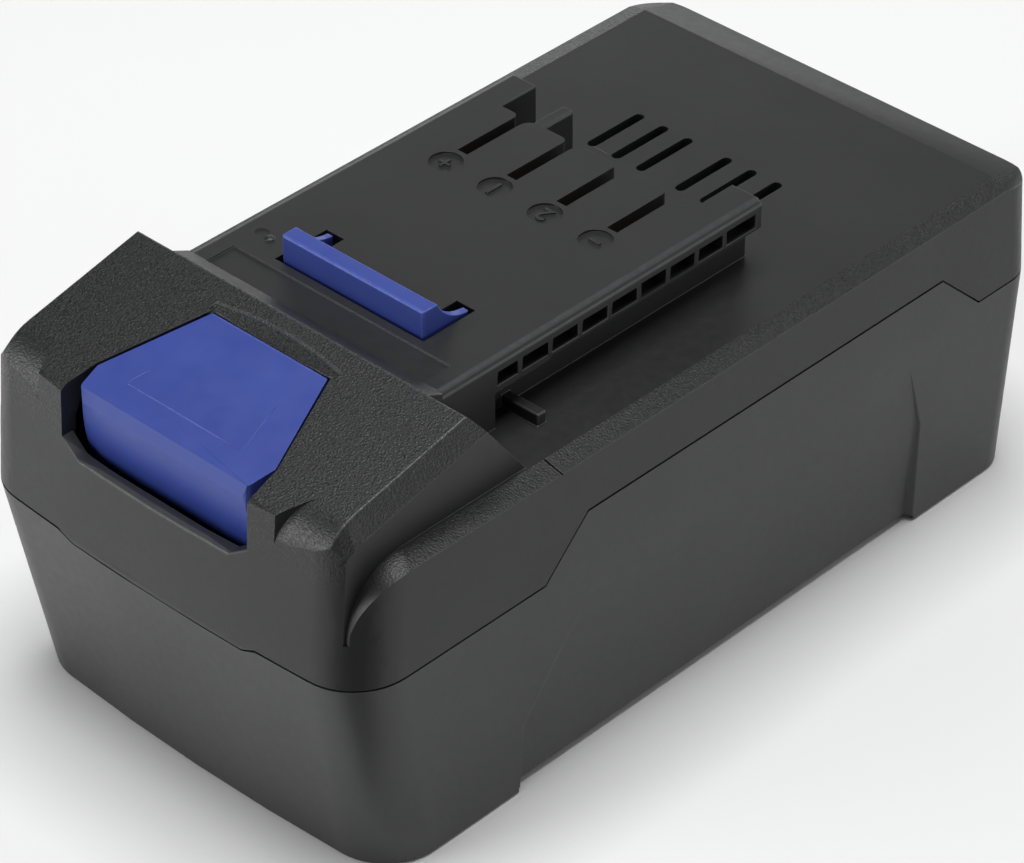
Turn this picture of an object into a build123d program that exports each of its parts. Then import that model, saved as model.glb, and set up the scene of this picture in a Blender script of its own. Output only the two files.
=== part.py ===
from build123d import *
import math
import os

# A slide-on battery pack for hand tools. X runs across, Y from the button end to the rear,
# Z up from the surface that it stands on. A place "from front" or "from rear" is measured
# from that end of the housing.

# Housing
length = 145.5
width = 76.8
height = 65.9
parting_share = 0.54
deck_drop = 12.4
wall = 2.4
floor_top = 3.2
foot_height = 1.0
front_foot_length = 33.75
rear_foot_length = 24.75
side_lean_low = 1.4
side_lean_high = 0.4
front_lean_low = 6.5
front_lean_high = 0.7
rear_lean_low = 1.2
rear_lean_high = 1.0
front_bow = 1.7
front_bow_gain = 1.0
front_corner_radius = 9.5
rear_corner_radius = 6.0
overrun = 5.0

# Deck
deck_bevel_width = 3.8
deck_bevel_drop = 0.9
deck_front_setback = 3.75
deck_front_radius = 10.5
deck_front_narrowing = 3.0
deck_crease_from_rear = 7.95
deck_rear_angle = 13.0
seam_from_front = 41.3
seam_width = 0.25
vent_pitch = 4.9
vent_first = 3.9
vent_count = 3
vent_width = 1.7
vent_length = 11.8
vent_behind_rail = 6.1
vent_middle = -0.6

# Head round the button
ridge_from_front = 28.95
head_slope = 12.7
head_rear_slope = 53.4
head_side_inset = 4.3
head_chamfer_width = 2.0
head_chamfer_drop = 3.1
head_front_setback = 1.55
head_front_lean = 4.7
head_radius = 8.5
head_base_rise = 2.4
block_half_width = 22.7
block_flare = 3.6
block_flare_length = 7.4
block_front_setback = 0.7
block_front_lean = 2.2
block_radius = 2.8
saddle_length = 2.8

# Parting line
parting_rise = 8.1
parting_front_foot_from_front = 37.65
parting_front_top_from_front = 46.35
parting_rear_top_from_rear = 22.85
parting_rear_foot_from_rear = 13.95
parting_dip = 1.3
parting_dip_half_width = 17.0
parting_dip_slope_width = 2.9
parting_gap = 0.3
lip_height = 1.5
lip_thickness = 1.0
lip_clearance = 0.15

# Side panels of the lower shell
panel_cover = 1.6
panel_depth = 1.25
panel_wall_width = 1.6
panel_front_top_from_front = 50.15
panel_front_low_from_front = 34.65
panel_rear_top_from_rear = 30.15
panel_rear_low_from_rear = 25.75
panel_front_kink_share = 0.344
panel_rear_kink_share = 0.559

# Slide rail
rail_drop = 1.3
rail_half_width = 24.95
rail_rear_from_front = 96.75
rail_undercut_from_front = 41.85
rail_neck_half_width = 22.0
rail_flange_thickness = 4.7
rail_deep_flange_thickness = 5.3
rail_deep_flange_length = 10.9
rail_edge_chamfer = 0.8
rail_cavity_half_width = 19.6
rail_top_wall = 2.3
rail_pocket_lead = 4.9
rail_pocket_pitch = 6.0
rail_pocket_count = 8
rail_rib = 0.9
rail_pocket_bottom_drop = 4.2
rail_pocket_height = 2.2
rail_pocket_depth = 2.4
rail_step_depth = 0.25
rail_step_from_front = 37.05
rail_step_half_width = 21.2
groove_key_reach = 28.9
groove_key_height = 1.9
groove_key_lead = 4.2
groove_key_thickness = 1.75

# Terminal slots and the bay behind them
slot_pitch = 9.8
slot_count = 4
slot_width = 2.0
slot_from_front = 76.25
finger_end_from_front = 89.15
bay_half_width = 19.3
finger_left_radius = 2.0
finger_right_radius = 1.1
bay_key_place = -11.6
bay_key_thickness = 2.0
bay_key_length = 6.3

# Latch
latch_travel = 4.5
latch_gap = 0.3
button_rear_from_front = 23.85
button_rear_half_width = 11.2
button_kink_from_front = 7.85
button_kink_half_width = 17.4
button_from_front = 3.15
button_front_half_width = 16.4
button_front_crease_drop = 2.2
button_front_crease_set = 0.5
button_front_lean = 9.0
button_corner_radius = 1.5
button_depth = 18.3
button_wall = 1.8
button_sink = 0.1
opening_side_clearance = 0.9
opening_lip_drop = 3.7
opening_lip_half_width = 15.1
opening_corner_drop = 1.6
scoop_half_width = 12.2
scoop_end_width = 1.1
scoop_middle_width = 2.4
scoop_slope = 32.0
well_wall = 1.9
hook_from_front = 39.35
hook_thickness = 2.8
hook_half_width = 13.85
hook_height = 4.0
hook_window_gap = 0.7
hook_window_room = 1.75
gusset_thickness = 1.1
gusset_length = 6.3
gusset_sag = 1.2
latch_plate_drop = 1.0
latch_plate_thickness = 2.0
latch_bridge_half_width = 12.0
wing_from_front = 19.25
wing_length = 8.0
wing_reach = 4.0
stop_rib_thickness = 1.6
latch_rest_clearance = 1.6

# Cells and their holders
cell_side_room = 5.9
cell_end_room = 30.3
cell_shift = 2.6
cell_spacing = 0.9
cell_columns = 6
cell_row_count = 2
cell_sides = 24
cell_cap_share = 0.49
cell_cap_height = 0.9
cell_bore_clearance = 0.1
cell_bore_sides = 12
holder_depth = 9.2
holder_margin = 0.75
foam_thickness = 0.8
foam_width = 12.0
foam_end_gap = 1.5
foam_inset = 14.0

# Strips and sheets
strip_thickness = 0.25
strip_height_share = 0.86
strip_width_share = 0.68
strip_slit_width = 1.4
strip_slit_share = 0.65
tab_width = 4.0
tab_foot = 2.5
sheet_thickness = 0.3
sheet_gap = 0.15

# Circuit board
board_thickness = 1.6
board_side_inset = 10.9
board_from_front = 26.75
board_from_rear = 15.75
board_post_height = 1.8
board_post_radius = 2.6
board_post_inset = 3.0
board_screw_radius = 1.1
board_screw_head_radius = 2.2
board_screw_head_height = 1.5
board_screw_length = 6.0
mosfet_width = 6.5
mosfet_length = 6.0
mosfet_height = 2.3
mosfet_pitch = 8.5
mosfet_count = 4
mosfet_share = 0.54
socket_width = 18.0
socket_depth = 5.5
socket_height = 4.2
socket_wall = 0.8
socket_inset = 7.0

# Terminals
carrier_half_width = 18.4
carrier_lead = 4.5
carrier_cover = 2.6
carrier_height = 9.4
carrier_floor = 1.5
carrier_pocket_half_width = 2.4
clip_lead = 1.5
clip_cover = 3.8
clip_thickness = 0.6
clip_half_spread = 1.7
clip_shoulder_share = 0.5
clip_throat_share = 0.85
clip_throat_half_gap = 0.35
clip_mouth_half_gap = 1.0
clip_top_clearance = 0.6

# Case screws
post_sides = 12
screw_side_inset = 9.4
screw_from_front = 12.55
screw_from_rear = 7.55
screw_well_radius = 3.3
screw_boss_wall = 1.2
screw_seat_drop = 9.6
screw_hole_radius = 1.6
screw_pilot_radius = 1.5
screw_radius = 1.45
screw_head_radius = 2.8
screw_head_height = 2.2
screw_tip_clearance = 6.1
upper_boss_radius = 3.3
pilot_cover = 3.4

# Latch springs
spring_inset = 7.5
spring_radius = 2.4
spring_wire = 0.8
spring_turns = 4
spring_sides = 12
spring_post_radius = 1.5
spring_post_height = 2.4
spring_peg_height = 1.6

# Ends and heights of the housing
front_end = -length / 2
rear_end = length / 2
deck_height = height - deck_drop
parting_height = height * parting_share
rail_top = height - rail_drop
head_base = parting_height + head_base_rise
cavity_top = rail_top - rail_top_wall
hook_top = rail_top + hook_height

# Places along the head and the rail
ridge_place = front_end + ridge_from_front
saddle_end = ridge_place + saddle_length
head_half_width = width / 2 - head_side_inset
rail_undercut_front = front_end + rail_undercut_from_front
rail_rear = front_end + rail_rear_from_front
slot_front = front_end + slot_from_front
finger_end = front_end + finger_end_from_front
button_rear = front_end + button_rear_from_front
button_kink = front_end + button_kink_from_front
button_front = front_end + button_from_front
hook_front = front_end + hook_from_front
wing_front = front_end + wing_from_front
wing_rear = wing_front + wing_length
opening_lip_height = deck_height - opening_lip_drop

# Heights inside, from the latch down to the cells
latch_plate_bottom = deck_height - latch_plate_drop
latch_plate_top = latch_plate_bottom + latch_plate_thickness
board_top = latch_plate_bottom - latch_travel - latch_rest_clearance
board_bottom = board_top - board_thickness
holder_top = board_bottom - board_post_height
holder_bottom = floor_top + foam_thickness
row_pitch = (holder_top - holder_bottom + cell_spacing) / 2 - holder_margin
cell_pitch = (length - cell_end_room) / cell_columns
cell_radius = (min(cell_pitch, row_pitch) - cell_spacing) / 2
cell_length = width - 2 * cell_side_room
row_low = holder_bottom + holder_margin + (row_pitch - cell_spacing) / 2
row_high = row_low + row_pitch
holder_half_length = (cell_columns * cell_pitch - cell_spacing) / 2 + holder_margin
holder_outer = cell_length / 2
holder_inner = holder_outer - holder_depth

# Board, springs and screws
board_half_width = width / 2 - board_side_inset
board_front = front_end + board_from_front
board_rear = rear_end - board_from_rear
spring_place_x = holder_outer - spring_inset
spring_place_y = (wing_front + wing_rear) / 2
wing_half_width = spring_place_x + wing_reach
stop_rib_place = spring_place_x - wing_reach
screw_place_x = width / 2 - screw_side_inset
screw_front = front_end + screw_from_front
screw_rear = rear_end - screw_from_rear
screw_seat_height = parting_height - screw_seat_drop
pilot_top = deck_height - pilot_cover
carrier_rear = finger_end - carrier_cover
socket_place = board_rear - socket_inset


def box(x0, x1, y0, y1, z0, z1):
    return Pos((x0 + x1) / 2, (y0 + y1) / 2, (z0 + z1) / 2) * Box(x1 - x0, y1 - y0, z1 - z0)


def rod(x, y, z0, z1, radius):
    return Pos(x, y, (z0 + z1) / 2) * Cylinder(radius, z1 - z0)


# Hidden bosses, pegs, screws and their holes have flats in place of a round side, to keep the
# model light.
def post(x, y, z0, z1, radius):
    return Pos(x, y, z0) * extrude(RegularPolygon(radius, post_sides), z1 - z0)


def both_sides(solid):
    return solid + mirror(solid, about=Plane.YZ)


def plan_prism(points, z0, z1):
    return Pos(0, 0, z0) * extrude(make_face(Polyline(*points, close=True)), z1 - z0)


def side_face(points, corner=None, radius=0):
    face = make_face(Polyline(*points, close=True))
    if corner:
        face = fillet(face.vertices().sort_by_distance((*corner, 0))[0], radius)
    return Plane.YZ * face


def side_prism(points, half_width, corner=None, radius=0):
    return extrude(side_face(points, corner, radius), half_width, both=True)


# Flats that touch the arc of a radius, in place of that arc.
def chamfered(corners, radius):
    return chamfer(corners, radius * (2 - math.sqrt(2)))


# Plan of the housing at a height: it leans in below and above the parting line. Outside its
# corners are round, and inside they are flat.
def plan(level, inset=0):
    low = max(parting_height - level, 0) / parting_height
    high = max(level - parting_height, 0) / (deck_height - parting_height)
    half = width / 2 - side_lean_low * low - side_lean_high * high - inset
    front = front_end + front_lean_low * low + front_lean_high * high + inset
    rear = rear_end - rear_lean_low * low - rear_lean_high * high - inset
    shoulder = front + front_bow + front_bow_gain * high
    outline = ThreePointArc((-half, shoulder), (0, front), (half, shoulder))
    outline += Polyline((half, shoulder), (half, rear), (-half, rear), (-half, shoulder))
    face = make_face(outline)
    finish = chamfered if inset else fillet
    face = finish(face.vertices().sort_by(Axis.Y)[:2], front_corner_radius - inset)
    face = finish(face.vertices().sort_by(Axis.Y)[-2:], rear_corner_radius - inset)
    return Pos(0, 0, level) * face


def housing_column(inset, bottom):
    heights = (bottom, parting_height, height + overrun)
    return loft([plan(level, inset) for level in heights], ruled=True)


# Side view of the deck: rounded down at the front, falling away at the rear.
def deck_side(top, front, radius, place=0):
    beyond = rear_end + overrun
    crease = rear_end - deck_crease_from_rear
    drop = (beyond - crease) * math.tan(math.radians(deck_rear_angle))
    points = [(front, -overrun), (front, top), (crease, top), (beyond, top - drop), (beyond, -overrun)]
    return Pos(place, 0, 0) * side_face(points, (front, top), radius)


def deck_body(inset):
    front = front_end + deck_front_setback + inset
    top = deck_height - inset
    inner = width / 2 - deck_bevel_width
    outer = width / 2
    body = extrude(deck_side(top, front, deck_front_radius - inset), inner, both=True)
    low_front = front + deck_bevel_drop
    low_radius = deck_front_radius - inset - deck_front_narrowing
    bevel = loft([
        deck_side(top, front, deck_front_radius - inset, inner),
        deck_side(top - deck_bevel_drop, low_front, low_radius, outer),
    ], ruled=True)
    base = box(-width, width, -length, length, -overrun, deck_height - deck_front_radius - inset)
    return body + both_sides(bevel) + base


def head_top_at(y):
    return height + (y - ridge_place) * math.tan(math.radians(head_slope))


# Where the top of the head, sunk by an amount, meets its leaning front.
def head_corner(setback, lean, sunk=0):
    slope = math.tan(math.radians(head_slope))
    tilt = math.tan(math.radians(lean))
    front = front_end + setback
    y = (front + tilt * (height - sunk - slope * ridge_place - deck_height)) / (1 - tilt * slope)
    return y, head_top_at(y) - sunk


# Side view of the head, shrunk by an inset and its top sunk by a drop: sloping top, leaning
# front, steep rear.
def head_side(inset, drop, place):
    slope = math.tan(math.radians(head_slope))
    steep = math.tan(math.radians(head_rear_slope))
    shift = inset / math.sin(math.radians(head_rear_slope))
    sunk = inset + drop
    back = (sunk - steep * shift) / (slope + steep)
    ridge = (ridge_place + back, height - sunk + slope * back)
    y, z = head_corner(head_front_setback + inset, head_front_lean, sunk)
    corner = (y, z)
    foot = y - (corner[1] - head_base) * math.tan(math.radians(head_front_lean))
    heel = ridge[0] + (ridge[1] - head_base) / steep
    points = [(heel, head_base), ridge, corner, (foot, head_base)]
    return Pos(place, 0, 0) * side_face(points, corner, head_radius - inset)


def head_body(inset):
    flat_half = head_half_width - head_chamfer_width - inset
    body = extrude(head_side(inset, 0, 0), flat_half, both=True)
    chamfer_part = loft([
        head_side(inset, 0, flat_half),
        head_side(inset, head_chamfer_drop, head_half_width - inset),
    ], ruled=True)
    return body + both_sides(chamfer_part)


# The middle of the head stands a little forward of its sides, and narrows to the front.
def block_body():
    y, z = head_corner(block_front_setback, block_front_lean)
    foot = y - (z - head_base) * math.tan(math.radians(block_front_lean))
    points = [(ridge_place, head_base), (ridge_place, height), (y, z), (foot, head_base)]
    wide = block_half_width + block_flare
    right = [(wide, ridge_place), (wide, y + block_flare_length), (block_half_width, y),
             (block_half_width, foot)]
    left = [(-a, b) for a, b in reversed(right)]
    body = side_prism(points, wide, (y, z), block_radius)
    return body & plan_prism(right + left, head_base, height)


# Short slope from the ridge down to the rail's platform.
def saddle():
    points = [(ridge_place, head_base), (ridge_place, height), (saddle_end, rail_top),
              (saddle_end, head_base)]
    return side_prism(points, rail_half_width)


# The rail seen along its length, with chamfered top edges.
def rail_section(bottom):
    half = rail_half_width
    low = rail_top - rail_edge_chamfer
    high = half - rail_edge_chamfer
    points = [(-half, bottom), (half, bottom), (half, low), (high, rail_top), (-high, rail_top), (-half, low)]
    return Plane.XZ * make_face(Polyline(*points, close=True))


def rail_length(bottom, front, rear):
    return Pos(0, rear, 0) * extrude(rail_section(bottom), rear - front)


def rail_pockets():
    first = rail_undercut_front + rail_pocket_lead
    places = [rail_undercut_front] + [first + rail_pocket_pitch * i for i in range(rail_pocket_count)]
    ends = places[1:] + [rail_rear - rail_rib]
    inner = rail_half_width - rail_pocket_depth
    low = rail_top - rail_pocket_bottom_drop
    pockets = [box(inner, rail_half_width + overrun, start + rail_rib / 2, end - rail_rib / 2,
                   low, low + rail_pocket_height) for start, end in zip(places, ends)]
    return both_sides(Part() + pockets)


def slot_places():
    return [(i - (slot_count - 1) / 2) * slot_pitch for i in range(slot_count)]


def flat_box(x0, x1, y0, y1):
    return Pos((x0 + x1) / 2, (y0 + y1) / 2) * Rectangle(x1 - x0, y1 - y0)


# The terminal slots and the open bay behind them. Each finger between two slots ends in one
# large and one small round corner.
def terminal_bay():
    half = slot_width / 2
    outline = flat_box(-bay_half_width, bay_half_width, finger_end, rail_rear + overrun)
    for x in slot_places():
        outline += flat_box(x - half, x + half, slot_front, finger_end)
    for x in slot_places():
        for corner, radius in ((x - half, finger_right_radius), (x + half, finger_left_radius)):
            vertex = outline.vertices().sort_by_distance((corner, finger_end, 0))[0]
            outline = fillet(vertex, radius)
    return Pos(0, 0, deck_height) * extrude(outline, rail_top + overrun - deck_height)


def rail_body():
    start = rail_undercut_front
    flange_bottom = rail_top - rail_flange_thickness
    neck = box(-rail_neck_half_width, rail_neck_half_width, start, rail_rear, head_base, flange_bottom)
    block = rail_length(deck_height - wall, saddle_end, start)
    flange = rail_length(flange_bottom, start, rail_rear)
    deep = rail_length(rail_top - rail_deep_flange_thickness, start, start + rail_deep_flange_length)
    return neck + block + flange + deep - rail_pockets() - terminal_bay()


# Low key on the deck at the foot of the rail, on each side.
def groove_keys():
    y0 = rail_undercut_front + groove_key_lead
    key = box(rail_neck_half_width - wall / 2, groove_key_reach, y0, y0 + groove_key_thickness,
              deck_height - wall / 2, deck_height + groove_key_height)
    return both_sides(key)


def bay_key():
    half = bay_key_thickness / 2
    return box(bay_key_place - half, bay_key_place + half, finger_end - finger_left_radius,
               finger_end + bay_key_length, deck_height - wall / 2, rail_top)


def vents():
    reach = [vent_first + vent_pitch * i for i in range(vent_count)]
    places = [vent_middle + side * x for side in (-1, 1) for x in reach]
    slot = extrude(SlotOverall(vent_length, vent_width, rotation=90), overrun * 2)
    middle = rail_rear + vent_behind_rail + vent_length / 2
    return Part() + [Pos(x, middle, deck_height - overrun) * slot for x in places]


# Outline of the button from above, grown by a clearance.
def button_outline(grow=0):
    right = [(button_rear_half_width + grow, button_rear + grow),
             (button_kink_half_width + grow, button_kink),
             (button_front_half_width + grow, button_front - grow)]
    left = [(-x, y) for x, y in reversed(right)]
    return right + left


def button_column(bottom):
    face = make_face(Polyline(*button_outline(), close=True))
    face = fillet(face.vertices().sort_by(Axis.Y)[:2], button_corner_radius)
    return Pos(0, 0, bottom) * extrude(face, height - bottom)


def button_opening():
    side = button_kink_half_width + opening_side_clearance
    ahead = front_end - overrun
    low_corner = deck_height - opening_corner_drop
    right = [(button_rear_half_width + latch_gap, button_rear + latch_gap),
             (button_kink_half_width + latch_gap, button_kink), (side, button_front), (side, ahead)]
    left = [(-x, y) for x, y in reversed(right)]
    column = plan_prism(right + left, head_base, height + overrun)
    right_view = [(opening_lip_half_width, opening_lip_height), (side, low_corner),
                  (side, height + overrun)]
    left_view = [(-x, z) for x, z in reversed(right_view)]
    front_view = Plane.XZ * make_face(Polyline(*(right_view + left_view), close=True))
    return column & extrude(front_view, length, both=True)


# Finger scoop behind the button: a curved edge in the top of the head, sloping down to the gap.
def scoop():
    edge = button_rear + latch_gap
    end = edge + scoop_end_width
    half = scoop_half_width
    outline = ThreePointArc((-half, end), (0, edge + scoop_middle_width), (half, end))
    outline += Polyline((half, end), (half, edge - latch_gap), (-half, edge - latch_gap), (-half, end))
    slope = math.tan(math.radians(head_slope))
    top = Plane(origin=(0, edge, head_top_at(edge)), x_dir=(1, 0, 0), z_dir=(0, -slope, 1))
    face = top * (Pos(0, -edge) * make_face(outline))
    fall = Vector(0, -math.cos(math.radians(scoop_slope)), -math.sin(math.radians(scoop_slope)))
    return extrude(face, scoop_middle_width * 2, dir=fall, both=True)


def well():
    side = button_kink_half_width + opening_side_clearance
    front = front_end + block_front_setback + well_wall
    return box(-side, side, front, button_rear, parting_height, opening_lip_height + overrun)


def hook_window():
    half = hook_half_width + hook_window_gap
    low = cavity_top - overrun
    rear = hook_front + hook_thickness + latch_gap
    bar = box(-half, half, hook_front - hook_window_gap, rear, low, hook_top)
    inner = hook_half_width - gusset_thickness - hook_window_room
    end = box(inner, half, hook_front, rear + gusset_length, low, hook_top)
    return bar + both_sides(end)


def rail_step():
    half = rail_step_half_width
    return box(-half, half, saddle_end, front_end + rail_step_from_front, rail_top - rail_step_depth,
               rail_top + overrun)


# Fine joint line across each bevel of the deck.
def bevel_seams():
    y = front_end + seam_from_front
    seam = box(width / 2 - deck_bevel_width, width, y - seam_width / 2, y + seam_width / 2,
               deck_height - deck_bevel_drop - seam_width, height)
    return both_sides(seam)


def cavity():
    half = rail_cavity_half_width
    return box(-half, half, ridge_place, finger_end - wall, head_base, cavity_top)


# Everything under the parting line, raised by an amount.
def below_parting(raised=0):
    low = parting_height + raised
    high = low + parting_rise
    front_foot = front_end + parting_front_foot_from_front
    front_top = front_end + parting_front_top_from_front
    rear_top = rear_end - parting_rear_top_from_rear
    rear_foot = rear_end - parting_rear_foot_from_rear
    side = side_prism([(-length, -overrun), (-length, low), (front_foot, low), (front_top, high),
                       (rear_top, high), (rear_foot, low), (length, low), (length, -overrun)], width)
    foot = parting_dip_half_width
    top = foot + parting_dip_slope_width
    dip = [(-top, low), (-foot, low - parting_dip), (foot, low - parting_dip), (top, low)]
    notch = extrude(Plane.XZ * make_face(Polyline(*dip, close=True)), length)
    return side - (Pos(0, front_foot, 0) * notch)


def housing_outside():
    forms = deck_body(0) + head_body(0) + block_body() + saddle() + rail_body()
    return housing_column(0, 0) & forms


def housing_inside():
    forms = deck_body(wall) + head_body(wall) + cavity()
    return housing_column(wall, floor_top) & forms


def screw_places():
    return [(x, y) for x in (-screw_place_x, screw_place_x) for y in (screw_front, screw_rear)]


def each_screw(make):
    return Part() + [make(x, y) for x, y in screw_places()]


# Outline of the sunk panel along each side, from its top edge down.
def panel_outline(grow, reach):
    top = parting_height - panel_cover
    front_low = front_end + panel_front_low_from_front - grow
    rear_low = rear_end - panel_rear_low_from_rear + grow
    return [(front_end + panel_front_top_from_front - grow, grow),
            (front_low, top * (panel_front_kink_share - 1)), (front_low, -reach), (rear_low, -reach),
            (rear_low, top * (panel_rear_kink_share - 1)),
            (rear_end - panel_rear_top_from_rear + grow, grow)]


# Shallow panel between the two end pillars on each side: flush at its top, sunk at its foot.
def side_panels():
    top = parting_height - panel_cover
    lean = math.atan2(side_lean_low + panel_depth, top)
    facing = (math.cos(lean), 0, -math.sin(lean))
    plane = Plane(origin=(width / 2, 0, top), x_dir=(0, 1, 0), z_dir=facing)
    reach = top + overrun
    inner = plane * make_face(Polyline(*panel_outline(0, reach), close=True))
    outside = plane.offset(panel_depth + side_lean_low)
    outer = outside * make_face(Polyline(*panel_outline(panel_wall_width, reach), close=True))
    return both_sides(loft([inner, outer], ruled=True))


def shell_lip():
    lip = housing_column(wall - lip_thickness, parting_height - parting_dip - lip_height)
    return (lip - housing_inside()) & below_parting(lip_height)


def foot_arch():
    return box(-width, width, front_end + front_foot_length, rear_end - rear_foot_length, -overrun,
               foot_height)


def build_lower():
    body = (housing_column(0, 0) & below_parting()) - housing_inside()
    radius = screw_well_radius + screw_boss_wall
    bosses = each_screw(lambda x, y: post(x, y, 0, parting_height - parting_gap, radius))
    body = body + bosses + shell_lip()
    body -= side_panels()
    body -= foot_arch()
    seat = screw_seat_height
    body -= each_screw(lambda x, y: rod(x, y, -overrun, seat, screw_well_radius))
    body -= each_screw(lambda x, y: post(x, y, seat, deck_height, screw_hole_radius))
    return body


def build_upper():
    body = housing_outside() - housing_inside() - below_parting(parting_gap)
    bosses = each_screw(lambda x, y: post(x, y, parting_height, height, upper_boss_radius))
    body += bosses & housing_outside()
    rebate = housing_column(wall - lip_thickness - lip_clearance, parting_height - parting_dip)
    body -= rebate & below_parting(lip_height + lip_clearance)
    body -= each_screw(lambda x, y: post(x, y, parting_height - overrun, pilot_top, screw_pilot_radius))
    body -= button_opening()
    body -= scoop()
    body -= well() & housing_column(well_wall, floor_top)
    body -= hook_window()
    body -= rail_step()
    body -= bevel_seams()
    body -= vents()
    return body + bay_key() + groove_keys()


def button_cap():
    top = head_top_at(0) - button_sink
    slope = math.tan(math.radians(head_slope))
    bottom = height - button_depth
    front_top = button_front + button_front_crease_set
    crease = top + slope * front_top - button_front_crease_drop
    front_bottom = button_front + (crease - bottom) * math.tan(math.radians(button_front_lean))
    rear = button_rear + overrun
    points = [(rear, bottom), (rear, top + slope * rear), (front_top, top + slope * front_top),
              (button_front, crease), (front_bottom, bottom)]
    outer = button_column(bottom) & side_prism(points, width)
    hollow = plan_prism(button_outline(-button_wall), bottom, height)
    inner_points = [(y + button_wall, z - button_wall) for y, z in points]
    return outer - (hollow & side_prism(inner_points, width))


def latch_plate():
    z0 = latch_plate_bottom
    z1 = latch_plate_top
    wings = box(-wing_half_width, wing_half_width, wing_front, wing_rear, z0, z1)
    bridge = box(-latch_bridge_half_width, latch_bridge_half_width, wing_front, hook_front + hook_thickness,
                 z0, z1)
    return wings + bridge


def stop_ribs():
    half = stop_rib_thickness / 2
    top = head_top_at(0) - wall / math.cos(math.radians(head_slope)) - latch_gap
    slope = math.tan(math.radians(head_slope))
    points = [(wing_front, latch_plate_bottom), (wing_front, top + slope * wing_front),
              (wing_rear, top + slope * wing_rear), (wing_rear, latch_plate_bottom)]
    return both_sides(Pos(stop_rib_place, 0, 0) * side_prism(points, half))


def hook():
    rear = hook_front + hook_thickness
    bar = box(-hook_half_width, hook_half_width, hook_front, rear, latch_plate_bottom, hook_top)
    tip = rear + gusset_length - latch_gap
    low = latch_plate_top
    middle = ((rear + tip) / 2, (hook_top + rail_top) / 2 - gusset_sag)
    edge = ThreePointArc((rear, hook_top), middle, (tip, rail_top))
    edge += Polyline((tip, rail_top), (tip, low), (rear - hook_thickness / 2, low),
                     (rear - hook_thickness / 2, hook_top), (rear, hook_top))
    gusset = extrude(Plane.YZ * make_face(edge), gusset_thickness)
    return bar + both_sides(Pos(hook_half_width - gusset_thickness, 0, 0) * gusset)


def build_latch():
    peg = post(spring_place_x, spring_place_y, latch_plate_bottom - spring_peg_height, latch_plate_bottom,
              spring_post_radius)
    return button_cap() + latch_plate() + stop_ribs() + hook() + both_sides(peg)


# A coil of straight steps, each a small part of a turn.
def build_spring(x):
    bottom = holder_top + spring_wire / 2
    rise = latch_plate_bottom - spring_wire / 2 - bottom
    steps = spring_turns * spring_sides
    turn = 2 * math.pi / spring_sides
    points = [(spring_radius * math.cos(turn * i), spring_radius * math.sin(turn * i), rise * i / steps)
              for i in range(steps + 1)]
    path = Polyline(*points)
    section = Plane(origin=path @ 0, z_dir=path % 0) * Rectangle(spring_wire, spring_wire)
    return Pos(x, spring_place_y, bottom) * sweep(section, path=path, transition=Transition.RIGHT)


def column_places():
    return [cell_shift + (column - (cell_columns - 1) / 2) * cell_pitch for column in range(cell_columns)]


def cell_places():
    return [(y, row_low + row_pitch * row) for y in column_places() for row in range(cell_row_count)]


# A prism round the X axis, its flats a radius away from it.
def lying_prism(x0, x1, radius, sides):
    return extrude(Plane.YZ.offset(x0) * RegularPolygon(radius, sides, major_radius=False), x1 - x0)


# Cells are drawn with many flats in place of a round side, to keep the model light.
def cell():
    half = cell_length / 2
    shoulder = half - cell_cap_height
    corner_radius = cell_radius * math.cos(math.pi / cell_sides)
    can = lying_prism(-half, shoulder, corner_radius, cell_sides)
    return can + lying_prism(shoulder, half, cell_radius * cell_cap_share, cell_bore_sides)


def build_cell(index, place):
    turned = (index // cell_row_count) % 2
    return Pos(0, *place) * (Rot(0, 0, 180 * turned) * cell())


# Posts stand over the valleys between the cells, clear of the strip tabs of their side.
def board_posts(side):
    x = side * (board_half_width - board_post_inset)
    columns = column_places()
    valleys = [y + cell_pitch / 2 for y in columns[:-1]]
    chosen = valleys[:1] if side > 0 else valleys[-2:-1]
    return [(x, y) for y in chosen]


# End frame that grips one end of every cell on the flats of its bores.
def build_holder(side):
    y0 = cell_shift - holder_half_length
    y1 = cell_shift + holder_half_length
    block = box(holder_inner, holder_outer, y0, y1, holder_bottom, holder_top)
    bore = lying_prism(0, cell_length, cell_radius + cell_bore_clearance, cell_bore_sides)
    block -= Part() + [Pos(0, y, z) * bore for y, z in cell_places()]
    posts = [(abs(x), y) for x, y in board_posts(side)]
    block += Part() + [post(x, y, holder_top, board_bottom, board_post_radius) for x, y in posts]
    block -= Part() + [post(x, y, board_bottom - board_screw_length, board_bottom, board_screw_radius)
                       for x, y in posts]
    block += post(spring_place_x, spring_place_y, holder_top, holder_top + spring_post_height,
                 spring_post_radius)
    return block if side > 0 else mirror(block, about=Plane.YZ)


# Strips join neighbouring groups; the first and last on the right side carry one group each.
def strip_groups():
    left = [(1, i, i + 1) for i in range(1, cell_columns - 1, 2)]
    right = [(-1, i, i + 1) for i in range(0, cell_columns, 2)]
    return [(1, 0, 0)] + left + [(1, cell_columns - 1, cell_columns - 1)] + right


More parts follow.
